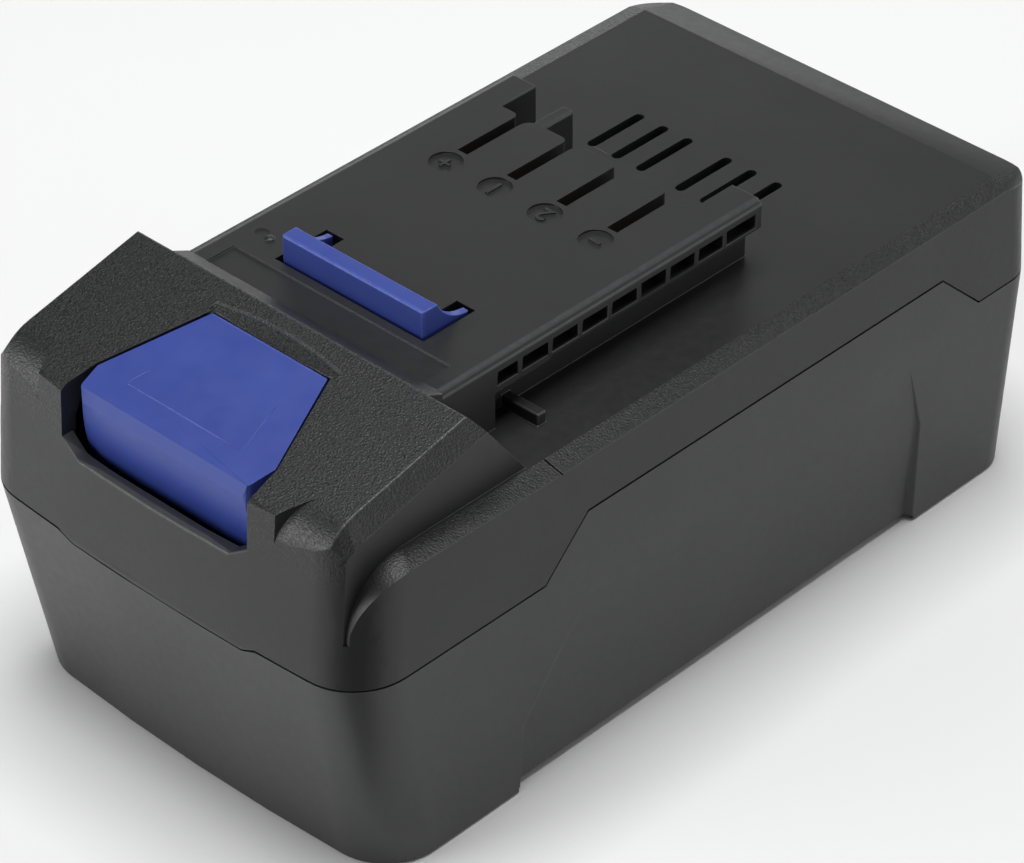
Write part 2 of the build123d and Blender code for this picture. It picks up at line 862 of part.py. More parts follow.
def build_strip(side, first, last):
    columns = column_places()
    half = cell_pitch * strip_width_share / 2
    y0 = columns[first] - half
    y1 = columns[last] + half
    middle = (row_low + row_high) / 2
    reach = row_pitch * strip_height_share
    x0 = holder_outer
    x1 = x0 + strip_thickness
    strip = box(x0, x1, y0, y1, middle - reach, middle + reach)
    slit = cell_radius * strip_slit_share
    half_slit = strip_slit_width / 2
    for column in columns[first:last + 1]:
        for z in (row_low, row_high):
            strip -= box(x0 - overrun, x1 + overrun, column - half_slit, column + half_slit,
                         z - slit, z + slit)
    tab_middle = min(max((y0 + y1) / 2, board_front + tab_width), board_rear - tab_width)
    tab_y0 = tab_middle - tab_width / 2
    tab_y1 = tab_middle + tab_width / 2
    foot = board_half_width - tab_foot
    strip += box(x0, x1, tab_y0, tab_y1, middle, board_top + strip_thickness)
    strip += box(foot, x1, tab_y0, tab_y1, board_top, board_top + strip_thickness)
    return strip if side > 0 else mirror(strip, about=Plane.YZ)


def build_sheet(side):
    x0 = holder_outer + strip_thickness + sheet_gap
    y0 = cell_shift - holder_half_length + holder_margin
    y1 = cell_shift + holder_half_length - holder_margin
    sheet = box(x0, x0 + sheet_thickness, y0, y1, holder_bottom, holder_top - holder_margin)
    return sheet if side > 0 else mirror(sheet, about=Plane.YZ)


def build_foam(y):
    half = holder_outer - foam_end_gap
    return box(-half, half, y - foam_width / 2, y + foam_width / 2, floor_top, holder_bottom)


def build_board():
    board = box(-board_half_width, board_half_width, board_front, board_rear, board_bottom, board_top)
    holes = Part() + [post(x, y, board_bottom - overrun, board_top + overrun, board_screw_radius + latch_gap)
                      for side in (-1, 1) for x, y in board_posts(side)]
    return board - holes


def board_screw(x, y):
    tip = board_bottom - board_screw_length + latch_gap
    shank = post(x, y, tip, board_top, board_screw_radius - sheet_gap / 2)
    return shank + post(x, y, board_top, board_top + board_screw_head_height, board_screw_head_radius)


def build_board_screws():
    return Part() + [board_screw(x, y) for side in (-1, 1) for x, y in board_posts(side)]


def build_mosfets():
    first = -(mosfet_count - 1) / 2 * mosfet_pitch
    socket_front = socket_place - socket_depth / 2
    y = carrier_rear + (socket_front - carrier_rear) * mosfet_share
    return Part() + [Pos(first + i * mosfet_pitch, y, board_top + mosfet_height / 2)
                     * Box(mosfet_width, mosfet_length, mosfet_height) for i in range(mosfet_count)]


def build_socket():
    half = socket_width / 2
    y0 = socket_place - socket_depth / 2
    y1 = socket_place + socket_depth / 2
    z1 = board_top + socket_height
    outer = box(-half, half, y0, y1, board_top, z1)
    w = socket_wall
    return outer - box(-half + w, half - w, y0 + w, y1 - w, board_top + w, z1 + overrun)


def build_carrier():
    top = board_top + carrier_height
    block = box(-carrier_half_width, carrier_half_width, slot_front - carrier_lead, carrier_rear,
                board_top, top)
    pocket = carrier_pocket_half_width
    y0 = slot_front - clip_lead - latch_gap
    y1 = finger_end - clip_cover + latch_gap
    return block - (Part() + [box(x - pocket, x + pocket, y0, y1, board_top + carrier_floor, top + overrun)
                              for x in slot_places()])


def build_clip(x):
    low = board_top + carrier_floor
    high = cavity_top - clip_top_clearance
    t = clip_thickness
    shoulder = low + (high - low) * clip_shoulder_share
    throat = low + (high - low) * clip_throat_share
    outer = [(clip_half_spread, low), (clip_half_spread, shoulder), (clip_throat_half_gap + t, throat),
             (clip_mouth_half_gap + t, high)]
    inner = [(clip_mouth_half_gap, high), (clip_throat_half_gap, throat), (clip_half_spread - t, shoulder),
             (clip_half_spread - t, low + t)]
    right = outer + inner
    left = [(-a, b) for a, b in reversed(right)]
    face = Plane.XZ * make_face(Polyline(*(right + left), close=True))
    front = slot_front - clip_lead
    rear = finger_end - clip_cover
    return Pos(x, rear, 0) * extrude(face, rear - front)


def case_screw(x, y):
    seat = screw_seat_height
    head = post(x, y, seat - screw_head_height, seat, screw_head_radius)
    return head + post(x, y, seat, pilot_top - screw_tip_clearance, screw_radius)


def build_case_screws():
    return each_screw(case_screw)


def export(name, solid):
    export_step(solid, f"parts/{name}.step")


def main():
    os.makedirs("parts", exist_ok=True)
    export("lower_shell", build_lower())
    export("upper_shell", build_upper())
    export("latch", build_latch())
    export("latch_spring_left", build_spring(-spring_place_x))
    export("latch_spring_right", build_spring(spring_place_x))
    for index, place in enumerate(cell_places()):
        export(f"cell_{index + 1:02d}", build_cell(index, place))
    export("cell_holder_left", build_holder(-1))
    export("cell_holder_right", build_holder(1))
    for index, group in enumerate(strip_groups()):
        export(f"nickel_strip_{index + 1}", build_strip(*group))
    export("insulator_left", build_sheet(-1))
    export("insulator_right", build_sheet(1))
    export("foam_pad_front", build_foam(cell_shift - holder_half_length + foam_inset))
    export("foam_pad_rear", build_foam(cell_shift + holder_half_length - foam_inset))
    export("circuit_board", build_board())
    export("mosfets", build_mosfets())
    export("balance_connector", build_socket())
    export("terminal_carrier", build_carrier())
    for index, x in enumerate(slot_places()):
        export(f"contact_clip_{index + 1}", build_clip(x))
    export("case_screws", build_case_screws())
    export("board_screws", build_board_screws())


main()
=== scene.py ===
import math
import bmesh
import bpy
from mathutils import Matrix, Vector
from mathutils.bvhtree import BVHTree
from mathutils.geometry import intersect_point_line


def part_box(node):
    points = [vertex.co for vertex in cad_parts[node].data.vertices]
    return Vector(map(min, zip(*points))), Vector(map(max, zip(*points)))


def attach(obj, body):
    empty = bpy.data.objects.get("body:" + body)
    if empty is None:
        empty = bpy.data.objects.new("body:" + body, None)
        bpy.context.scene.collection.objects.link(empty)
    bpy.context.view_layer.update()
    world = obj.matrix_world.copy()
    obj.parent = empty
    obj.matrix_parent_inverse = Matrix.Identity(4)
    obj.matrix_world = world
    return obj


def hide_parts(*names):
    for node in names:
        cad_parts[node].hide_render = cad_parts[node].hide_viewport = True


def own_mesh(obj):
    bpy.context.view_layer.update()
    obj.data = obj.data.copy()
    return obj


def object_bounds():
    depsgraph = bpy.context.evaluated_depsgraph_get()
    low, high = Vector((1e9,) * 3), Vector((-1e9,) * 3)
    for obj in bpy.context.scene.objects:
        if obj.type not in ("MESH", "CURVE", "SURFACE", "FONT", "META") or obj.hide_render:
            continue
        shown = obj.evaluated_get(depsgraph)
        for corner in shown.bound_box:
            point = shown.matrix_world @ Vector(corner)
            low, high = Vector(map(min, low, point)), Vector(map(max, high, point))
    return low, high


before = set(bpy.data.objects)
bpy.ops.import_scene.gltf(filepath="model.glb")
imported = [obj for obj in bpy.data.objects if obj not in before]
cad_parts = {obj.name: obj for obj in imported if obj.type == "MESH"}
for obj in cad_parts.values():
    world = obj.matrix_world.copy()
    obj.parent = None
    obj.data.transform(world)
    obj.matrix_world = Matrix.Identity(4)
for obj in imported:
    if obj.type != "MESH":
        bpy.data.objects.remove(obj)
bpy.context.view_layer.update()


# Places that the pieces share: the tops are counted down from the ridge of the head
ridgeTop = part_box("upper_shell")[1].z
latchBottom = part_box("latch")[0].z
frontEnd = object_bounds()[0].y
layout = {
    "deckDrop": 0.0124,
    "railDrop": 0.0013,
    "ridgeFromFront": 0.02895,
    "headSlope": math.radians(12.7),
    "slotPitch": 0.0098,
    "slots": 4,
    "buttonGap": 0.0001,
}
deckTop = ridgeTop - layout["deckDrop"]
railTop = ridgeTop - layout["railDrop"]
ridgePlace = frontEnd + layout["ridgeFromFront"]
headSlope = math.tan(layout["headSlope"])


# Node helpers for the materials
def newMaterial(name):
    material = bpy.data.materials.new(name)
    material.use_nodes = True
    tree = material.node_tree
    return material, tree, tree.nodes["Principled BSDF"]


def addNode(tree, kind, **settings):
    node = tree.nodes.new(kind)
    for key, value in settings.items():
        setattr(node, key, value)
    return node


# Gives a socket a value or links another node's output to it; a plain colour is made opaque
def feed(tree, socket, value):
    if isinstance(value, bpy.types.NodeSocket):
        tree.links.new(value, socket)
    else:
        socket.default_value = (*value, 1.0) if isinstance(value, tuple) else value


def objectPlace(tree):
    return addNode(tree, "ShaderNodeTexCoord").outputs["Object"]


def noise(tree, place, scale, detail=2.0, roughness=0.5):
    node = addNode(tree, "ShaderNodeTexNoise")
    node.inputs["Scale"].default_value = scale
    node.inputs["Detail"].default_value = detail
    node.inputs["Roughness"].default_value = roughness
    tree.links.new(place, node.inputs["Vector"])
    return node.outputs["Fac"]


def spread(tree, value, toLow, toHigh, fromLow=0.3, fromHigh=0.7):
    node = addNode(tree, "ShaderNodeMapRange")
    node.inputs["From Min"].default_value = fromLow
    node.inputs["From Max"].default_value = fromHigh
    node.inputs["To Min"].default_value = toLow
    node.inputs["To Max"].default_value = toHigh
    tree.links.new(value, node.inputs["Value"])
    return node.outputs["Result"]


# A mix node has sockets for values, vectors and colours: 6 and 7 take colours, 2 and 3 values
def blendColour(tree, factor, first, second):
    node = addNode(tree, "ShaderNodeMix", data_type="RGBA")
    tree.links.new(factor, node.inputs["Factor"])
    feed(tree, node.inputs[6], first)
    feed(tree, node.inputs[7], second)
    return node.outputs[2]


def blendValues(tree, factor, first, second):
    node = addNode(tree, "ShaderNodeMix", data_type="FLOAT")
    tree.links.new(factor, node.inputs["Factor"])
    tree.links.new(first, node.inputs[2])
    tree.links.new(second, node.inputs[3])
    return node.outputs[0]


def bump(tree, shader, height, strength, distance):
    node = addNode(tree, "ShaderNodeBump")
    node.inputs["Strength"].default_value = strength
    node.inputs["Distance"].default_value = distance
    tree.links.new(height, node.inputs["Height"])
    tree.links.new(node.outputs["Normal"], shader.inputs["Normal"])


# Where the attribute marks a rounded edge, the colour goes paler in patches: partly wear, partly a painted
# highlight along the edge
wearAndHighlightPatches = {"scale": 900.0, "least": 0.55}


def wearAndHighlightEdges(tree, place, colour, wearAndHighlight):
    painted = addNode(tree, "ShaderNodeAttribute", attribute_name="wearAndHighlight")
    patches = addNode(tree, "ShaderNodeMath", operation="MULTIPLY", use_clamp=True)
    tree.links.new(painted.outputs["Fac"], patches.inputs[0])
    uneven = spread(tree, noise(tree, place, wearAndHighlightPatches["scale"]), wearAndHighlightPatches["least"], 1.0)
    tree.links.new(uneven, patches.inputs[1])
    return blendColour(tree, patches.outputs["Value"], colour, wearAndHighlight)


def mottledColour(tree, place, look):
    drift = noise(tree, place, look["driftScale"], detail=3.0)
    return blendColour(tree, spread(tree, drift, 0.0, 1.0), look["dark"], look["light"])


def wornGloss(tree, place, look):
    wear = noise(tree, place, look["wearScale"], detail=4.0, roughness=0.6)
    return spread(tree, wear, look["glossLow"], look["glossHigh"])


# A finish with grain, a slow drift of colour and worn patches in its gloss
def grainedFinish(name, look):
    material, tree, shader = newMaterial(name)
    place = objectPlace(tree)
    colour = mottledColour(tree, place, look)
    # A look with an edge colour gets paler rounded edges, partly wear and partly painted highlight
    if "wearAndHighlight" in look:
        colour = wearAndHighlightEdges(tree, place, colour, look["wearAndHighlight"])
    tree.links.new(colour, shader.inputs["Base Color"])
    tree.links.new(wornGloss(tree, place, look), shader.inputs["Roughness"])
    bump(tree, shader, noise(tree, place, look["grainScale"]), look["grainStrength"], look["grainDepth"])
    shader.inputs["Metallic"].default_value = look.get("metal", 0.0)
    shader.inputs["Specular IOR Level"].default_value = look.get("specular", 0.5)
    return material


# Housing plastic: satin walls, deck and rail; the head and the deck's bevel have a coarse
# spark-eroded grain that glints and runs out down the front
# The satin's paler edge colour is partly wear and partly a painted highlight on the rounded edges
satinLook = {"dark": (0.0105, 0.0107, 0.0114), "light": (0.0145, 0.0148, 0.0156), "driftScale": 60.0,
             "wearScale": 700.0, "glossLow": 0.42, "glossHigh": 0.48, "grainScale": 5200.0,
             "grainStrength": 0.20, "grainDepth": 0.00003, "specular": 0.60, "wearAndHighlight": (0.038, 0.039, 0.041)}
coarseLook = {"dark": (0.0060, 0.0062, 0.0068), "light": (0.0175, 0.0180, 0.0190), "driftScale": 2300.0,
              "wearScale": 2600.0, "glossLow": 0.26, "glossHigh": 0.58, "grainScale": 3000.0,
              "grainStrength": 1.0, "grainDepth": 0.00010, "fadeLow": 0.0500, "fadeHigh": 0.0550,
              "bevelShare": 1.12}


def coarseShare(tree, place):
    painted = addNode(tree, "ShaderNodeAttribute", attribute_name="coarse")
    axes = addNode(tree, "ShaderNodeSeparateXYZ")
    tree.links.new(place, axes.inputs["Vector"])
    fade = spread(tree, axes.outputs["Z"], 0.0, 1.0, coarseLook["fadeLow"], coarseLook["fadeHigh"])
    beyond = addNode(tree, "ShaderNodeMath", operation="SUBTRACT")
    beyond.inputs[1].default_value = 1.0
    tree.links.new(painted.outputs["Fac"], beyond.inputs[0])
    share = addNode(tree, "ShaderNodeMath", operation="MULTIPLY_ADD", use_clamp=True)
    tree.links.new(painted.outputs["Fac"], share.inputs[0])
    tree.links.new(fade, share.inputs[1])
    tree.links.new(beyond.outputs["Value"], share.inputs[2])
    return share.outputs["Value"]


def housingFinish(name):
    material, tree, shader = newMaterial(name)
    place = objectPlace(tree)
    share = coarseShare(tree, place)
    colours = []
    glosses = []
    heights = []
    for look in (satinLook, coarseLook):
        colours.append(mottledColour(tree, place, look))
        glosses.append(wornGloss(tree, place, look))
        grain = noise(tree, place, look["grainScale"])
        depth = look["grainStrength"] * look["grainDepth"]
        heights.append(spread(tree, grain, 0.0, depth, 0.0, 1.0))
    # Rounded edges go paler: partly wear, partly painted highlight
    wornAndHighlit = wearAndHighlightEdges(tree, place, blendColour(tree, share, *colours), satinLook["wearAndHighlight"])
    tree.links.new(wornAndHighlit, shader.inputs["Base Color"])
    tree.links.new(blendValues(tree, share, *glosses), shader.inputs["Roughness"])
    bump(tree, shader, blendValues(tree, share, *heights), 1.0, 1.0)
    shader.inputs["Specular IOR Level"].default_value = satinLook["specular"]
    return material


# The lower half is the same plastic as the upper one, made a touch paler and more reflective: painted
# light, for the brighter look of its walls near the floor
paintedLightLowerLook = {**satinLook, "dark": (0.0198, 0.0201, 0.0208), "light": (0.0250, 0.0253, 0.0262),
            "specular": 0.74}

housingPlastic = housingFinish("housingPlastic")
paintedLightLowerPlastic = grainedFinish("paintedLightLowerPlastic", paintedLightLowerLook)

# Latch plastic; its paler edge colour is partly wear and partly a painted highlight on the rounded edges
blueLook = {"dark": (0.034, 0.060, 0.300), "light": (0.042, 0.072, 0.335), "driftScale": 90.0,
            "wearScale": 260.0, "glossLow": 0.36, "glossHigh": 0.46, "grainScale": 3800.0,
            "grainStrength": 0.12, "grainDepth": 0.00003, "wearAndHighlight": (0.065, 0.105, 0.420)}
bluePlastic = grainedFinish("bluePlastic", blueLook)
print("housing and latch plastics are mixed")

# What lies inside the housing
insideLooks = {
    "springSteel": {"dark": (0.50, 0.50, 0.50), "light": (0.62, 0.62, 0.62), "driftScale": 400.0,
                    "wearScale": 900.0, "glossLow": 0.22, "glossHigh": 0.40, "grainScale": 4000.0,
                    "grainStrength": 0.10, "grainDepth": 0.00002, "metal": 1.0},
    "holderPlastic": {"dark": (0.040, 0.040, 0.042), "light": (0.055, 0.055, 0.058), "driftScale": 100.0,
                      "wearScale": 300.0, "glossLow": 0.45, "glossHigh": 0.60, "grainScale": 3000.0,
                      "grainStrength": 0.20, "grainDepth": 0.00004},
    "nickelStrip": {"dark": (0.55, 0.53, 0.48), "light": (0.66, 0.63, 0.57), "driftScale": 200.0,
                    "wearScale": 700.0, "glossLow": 0.20, "glossHigh": 0.38, "grainScale": 3500.0,
                    "grainStrength": 0.12, "grainDepth": 0.00002, "metal": 1.0},
    "insulatingPaper": {"dark": (0.28, 0.31, 0.27), "light": (0.36, 0.40, 0.34), "driftScale": 300.0,
                        "wearScale": 500.0, "glossLow": 0.65, "glossHigh": 0.85, "grainScale": 2500.0,
                        "grainStrength": 0.30, "grainDepth": 0.00004},
    "cellFoam": {"dark": (0.030, 0.030, 0.032), "light": (0.060, 0.060, 0.062), "driftScale": 1800.0,
                 "wearScale": 900.0, "glossLow": 0.85, "glossHigh": 1.0, "grainScale": 1600.0,
                 "grainStrength": 0.60, "grainDepth": 0.00015},
    "chipBlack": {"dark": (0.018, 0.018, 0.018), "light": (0.030, 0.030, 0.030), "driftScale": 500.0,
                  "wearScale": 800.0, "glossLow": 0.40, "glossHigh": 0.55, "grainScale": 4000.0,
                  "grainStrength": 0.20, "grainDepth": 0.00003},
    "socketNylon": {"dark": (0.62, 0.60, 0.55), "light": (0.72, 0.70, 0.65), "driftScale": 300.0,
                    "wearScale": 500.0, "glossLow": 0.35, "glossHigh": 0.50, "grainScale": 3500.0,
                    "grainStrength": 0.12, "grainDepth": 0.00003},
    "contactMetal": {"dark": (0.42, 0.30, 0.17), "light": (0.56, 0.40, 0.24), "driftScale": 400.0,
                     "wearScale": 900.0, "glossLow": 0.22, "glossHigh": 0.40, "grainScale": 4000.0,
                     "grainStrength": 0.10, "grainDepth": 0.00002, "metal": 1.0},
    "screwSteel": {"dark": (0.16, 0.16, 0.17), "light": (0.27, 0.27, 0.28), "driftScale": 500.0,
                   "wearScale": 900.0, "glossLow": 0.28, "glossHigh": 0.45, "grainScale": 3500.0,
                   "grainStrength": 0.15, "grainDepth": 0.00002, "metal": 1.0},
}
inside = {name: grainedFinish(name, look) for name, look in insideLooks.items()}


# Circuit board: green mask over copper tracks
boardLook = {"mask": (0.010, 0.075, 0.030), "track": (0.022, 0.135, 0.055), "trackScale": 260.0,
             "trackDrift": 0.35, "trackEdge": 0.45, "trackWidth": 0.06, "gloss": 0.3,
             "strength": 0.3, "depth": 0.00005}


def boardFinish():
    material, tree, shader = newMaterial("solderMask")
    cells = addNode(tree, "ShaderNodeTexVoronoi", feature="F1", distance="MANHATTAN")
    cells.inputs["Scale"].default_value = boardLook["trackScale"]
    cells.inputs["Randomness"].default_value = boardLook["trackDrift"]
    tree.links.new(objectPlace(tree), cells.inputs["Vector"])
    edge = boardLook["trackEdge"]
    track = spread(tree, cells.outputs["Distance"], 0.0, 1.0, edge, edge + boardLook["trackWidth"])
    colour = blendColour(tree, track, boardLook["mask"], boardLook["track"])
    tree.links.new(colour, shader.inputs["Base Color"])
    bump(tree, shader, track, boardLook["strength"], boardLook["depth"])
    shader.inputs["Roughness"].default_value = boardLook["gloss"]
    return material


# Shrink sleeve of a cell: smooth film with faint wrinkles along the can
sleeveLook = {"film": (0.030, 0.200, 0.220), "filmLight": (0.040, 0.250, 0.270), "wrinkleScale": 900.0,
              "stretch": 0.15, "glossLow": 0.28, "glossHigh": 0.38, "strength": 0.15, "depth": 0.0001}


def sleeveFinish():
    material, tree, shader = newMaterial("cellSleeve")
    place = objectPlace(tree)
    mapping = addNode(tree, "ShaderNodeMapping")
    mapping.inputs["Scale"].default_value = (sleeveLook["stretch"], 1.0, 1.0)
    tree.links.new(place, mapping.inputs["Vector"])
    wrinkle = noise(tree, mapping.outputs["Vector"], sleeveLook["wrinkleScale"], detail=3.0)
    patches = spread(tree, wrinkle, 0.0, 1.0)
    colour = blendColour(tree, patches, sleeveLook["film"], sleeveLook["filmLight"])
    tree.links.new(colour, shader.inputs["Base Color"])
    bump(tree, shader, wrinkle, sleeveLook["strength"], sleeveLook["depth"])
    gloss = spread(tree, wrinkle, sleeveLook["glossLow"], sleeveLook["glossHigh"])
    tree.links.new(gloss, shader.inputs["Roughness"])
    return material


inside["solderMask"] = boardFinish()
inside["cellSleeve"] = sleeveFinish()
print("inside finishes are mixed:", len(inside))

# Which finish each carried-over node takes, by the start of its name
nodeFinishes = {
    "cell_holder": "holderPlastic",
    "cell_": "cellSleeve",
    "nickel_strip": "nickelStrip",
    "insulator": "insulatingPaper",
    "foam_pad": "cellFoam",
    "circuit_board": "solderMask",
    "mosfets": "chipBlack",
    "balance_connector": "socketNylon",
    "terminal_carrier": "chipBlack",
    "contact_clip": "contactMetal",
}


def dressNode(name, node):
    for start, finish in nodeFinishes.items():
        if name.startswith(start):
            node.data.materials.clear()
            node.data.materials.append(inside[finish])
            return


for nodeName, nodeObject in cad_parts.items():
    dressNode(nodeName, nodeObject)


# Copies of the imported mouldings, with rounded edges
rounding = {
    "widest": 0.0009,
    "convex": 0.00028,
    "concave": 0.00010,
    "hardFold": 15.5,
    "narrowest": 0.00003,
    "roomShare": 0.33,
    "boldFrom": 0.0004,
    "boldShare": 0.62,
    "segments": 3,
    "attempts": 9,
    "mendReach": 0.0006,
    "mendShare": 0.4,
    "flat": 1.2,
    "merge": 0.00002,
    "sharpFold": 35.0,
    "broadFold": 8.0,
    "broadFace": 0.00002,
    "broadRise": 0.9,
    "level": 0.95,
    "leastSine": 0.02,
    "nearStraight": 150.0,
    "stray": 0.00045,
    "turnedOver": -0.1,
    "smallFace": 2e-9,
    "areaWeight": 80,
}


def linked(name, data):
    thing = bpy.data.objects.new(name, data)
    bpy.context.scene.collection.objects.link(thing)
    return thing


# A copy of a node's mesh with joined corners; its second slot is for the rounded folds
def mergedCopy(node, name):
    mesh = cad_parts[node].data.copy()
    mesh.name = name
    work = bmesh.new()
    work.from_mesh(mesh)
    bmesh.ops.remove_doubles(work, verts=work.verts, dist=rounding["merge"])
    bmesh.ops.dissolve_limit(work, angle_limit=math.radians(rounding["flat"]), verts=work.verts,
                             edges=work.edges)
    work.to_mesh(mesh)
    work.free()
    mesh.materials.clear()
    mesh.materials.append(paintedLightLowerPlastic)
    mesh.materials.append(paintedLightLowerPlastic)
    return linked(name, mesh)


# The least distance between two edges of one face
def apart(edge, other):
    ends = [vert.co for vert in edge.verts]
    otherEnds = [vert.co for vert in other.verts]
    near = 1.0
    for points, (a, b) in ((ends, otherEnds), (otherEnds, ends)):
        for point in (*points, (points[0] + points[1]) / 2):
            foot, share = intersect_point_line(point, a, b)
            foot = a if share < 0 else b if share > 1 else foot
            near = min(near, (point - foot).length)
    return near


# The width that a rounding of this edge can take before it meets another one
def roomFor(edge, hard):
    room = edge.calc_length()
    for vert in edge.verts:
        away = (edge.other_vert(vert).co - vert.co).normalized()
        for other in vert.link_edges:
            if other is edge:
                continue
            side = (other.other_vert(vert).co - vert.co).normalized()
            angle = away.angle(side)
            length = other.calc_length()
            if other not in hard:
                room = min(room, length * max(rounding["leastSine"], math.sin(angle)))
            elif angle < math.radians(rounding["nearStraight"]):
                room = min(room, min(length, edge.calc_length()) * math.tan(angle / 2))
    for face in edge.link_faces:
        for other in face.edges:
            if not set(edge.verts) & set(other.verts):
                room = min(room, apart(edge, other))
    return room


# Where the mesh runs through itself
def crossings(work):
    work.faces.ensure_lookup_table()
    tree = BVHTree.FromBMesh(work)
    spots = []
    for i, j in tree.overlap(tree):
        if i < j and not set(work.faces[i].verts) & set(work.faces[j].verts):
            small = min((work.faces[i], work.faces[j]), key=lambda face: face.calc_area())
            if small.calc_area() > rounding["smallFace"]:
                spots.append(small.calc_center_median())
    return spots


# Where the rounded mesh runs away from its source, turns over or runs through itself
def faultsOf(piece, source):
    shown = piece.evaluated_get(bpy.context.evaluated_depsgraph_get())
    work = bmesh.new()
    work.from_mesh(shown.to_mesh())
    spots = [v.co.copy() for v in work.verts if source.find_nearest(v.co)[3] > rounding["stray"]]
    for face in work.faces:
        spot = face.calc_center_median()
        turned = source.find_nearest(spot)[1].dot(face.normal) < rounding["turnedOver"]
        if turned and face.calc_area() > rounding["smallFace"]:
            spots.append(spot)
    spots += crossings(work)
    work.free()
    shown.to_mesh_clear()
    return spots


def nearAny(edge, spots):
    a, b = (vert.co for vert in edge.verts)
    for spot in spots:
        foot, share = intersect_point_line(spot, a, b)
        foot = a if share < 0 else b if share > 1 else foot
        if (spot - foot).length < rounding["mendReach"]:
            return True
    return False


# Rounds the folds; one without room stays crisp, and one that fails is made smaller and tried again
def roundEdges(piece, widthAt):
    work = bmesh.new()
    work.from_mesh(piece.data)
    source = BVHTree.FromBMesh(work)
    weight = work.edges.layers.float.new("bevel_weight_edge")
    hard = {edge for edge in work.edges if len(edge.link_faces) == 2
            and math.degrees(edge.calc_face_angle()) > rounding["hardFold"]}
    width = {}
    for edge in hard:
        wanted = widthAt(edge)
        share = rounding["boldShare"] if wanted > rounding["boldFrom"] else rounding["roomShare"]
        width[edge] = min(wanted, roomFor(edge, hard) * share)
    bevel = piece.modifiers.new("roundedEdges", "BEVEL")
    bevel.limit_method = "WEIGHT"
    bevel.width = rounding["widest"]
    bevel.segments = rounding["segments"]
    bevel.use_clamp_overlap = False
    # The rounded faces take the second slot, which later marks them for the paler edge colour, partly wear
    # and partly painted highlight
    bevel.material = 1
    for _ in range(rounding["attempts"]):
        for edge in hard:
            crisp = width[edge] < rounding["narrowest"]
            edge[weight] = 0.0 if crisp else min(1.0, width[edge] / rounding["widest"])
            edge.smooth = not crisp
        work.to_mesh(piece.data)
        spots = faultsOf(piece, source)
        if not spots:
            break
        for edge in hard:
            if nearAny(edge, spots):
                width[edge] *= rounding["mendShare"]
    work.free()


# Marks the rounded folds for the paler edge colour, partly wear and partly a painted highlight, and gives
# the whole moulding one material
def dressMoulding(piece, material):
    wornAndHighlit = [float(face.material_index == 1) for face in piece.data.polygons]
    wearAndHighlight = piece.data.attributes.new("wearAndHighlight", "FLOAT", "FACE")
    wearAndHighlight.data.foreach_set("value", wornAndHighlit)
    piece.data.polygons.foreach_set("material_index", [0] * len(wornAndHighlit))
    piece.data.materials.clear()
    piece.data.materials.append(material)


# Turns what the modifiers make into the piece's own mesh
def settle(piece):
    shown = piece.evaluated_get(bpy.context.evaluated_depsgraph_get())
    mesh = bpy.data.meshes.new_from_object(shown)
    mesh.name = piece.name
    old = piece.data
    piece.modifiers.clear()
    piece.data = mesh
    bpy.data.meshes.remove(old)


def carve(piece, cutter):
    cut = piece.modifiers.new("carving", "BOOLEAN")
    cut.operation = "DIFFERENCE"
    cut.solver = "EXACT"
    cut.object = cutter
    settle(piece)
    bpy.data.objects.remove(cutter)


# Smooth shading led by the large faces; folds stay sharp, also slight ones between broad level faces
def smoothByArea(piece):
    work = bmesh.new()
    work.from_mesh(piece.data)
    for face in work.faces:
        face.smooth = True
    for edge in work.edges:
        if len(edge.link_faces) == 2:
            fold = math.degrees(edge.calc_face_angle())
            flat = all(face.normal.z > rounding["broadRise"] and face.calc_area() > rounding["broadFace"]
                       for face in edge.link_faces)
            edge.smooth = fold < rounding["broadFold" if flat else "sharpFold"]
    work.to_mesh(piece.data)
    work.free()
    weighted = piece.modifiers.new("evenNormals", "WEIGHTED_NORMAL")
    weighted.keep_sharp = True
    weighted.weight = rounding["areaWeight"]
    settle(piece)


def faceOutward(piece):
    work = bmesh.new()
    work.from_mesh(piece.data)
    bmesh.ops.recalc_face_normals(work, faces=work.faces)
    work.to_mesh(piece.data)
    work.free()


def hand(piece, body, slotName, *nodes):
    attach(piece, body)
    if nodes:
        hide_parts(*nodes)


def meshPiece(name, verts, faces):
    mesh = bpy.data.meshes.new(name)
    mesh.from_pydata([tuple(v) for v in verts], [], faces)
    return linked(name, mesh)


def fromWork(name, work):
    mesh = bpy.data.meshes.new(name)
    work.to_mesh(mesh)
    work.free()
    return linked(name, mesh)


# Upper shell: rounded edges, marked rail, coarse head
upperEdges = {
    "parting": 0.00010,
    "lip": 0.0009,
    "nose": 0.0007,
    "slot": 0.00050,
    "flange": 0.00070,
}
# Where those edges lie; reach counts from the front end, drop from the deck or the rail's top
upperSpots = {
    "partingDrop": 0.004,
    "crispHalf": 0.0335,
    "crispReach": 0.0140,
    "lipReach": 0.0022,
    "lipLow": 0.0480,
    "lipHigh": 0.0530,
    "lipHalf": 0.0186,
    "noseReach": 0.0085,
    "noseDrop": 0.002,
    "noseInner": 0.0155,
    "noseOuter": 0.0270,
    "topDrop": 0.0002,
    "slotFront": 0.0,
    "slotRear": 0.0200,
    "lengthwise": 0.9,
    "flangeHalf": 0.0240,
}
marks = {
    "radius": 0.00258,
    "depth": 0.00030,
    "place": 0.0001,
    "sides": 64,
    "gatePlace": (-0.0206, -0.0308),
    "gateRadius": 0.0011,
    "domePlace": (-0.0187, -0.0311),
    "domeRadius": 0.0008,
    "domeHeight": 0.45,
    "domeSink": 0.00005,
}


def middleOf(edge):
    return (edge.verts[0].co + edge.verts[1].co) / 2


def edgeRun(edge):
    return (edge.verts[1].co - edge.verts[0].co).normalized()


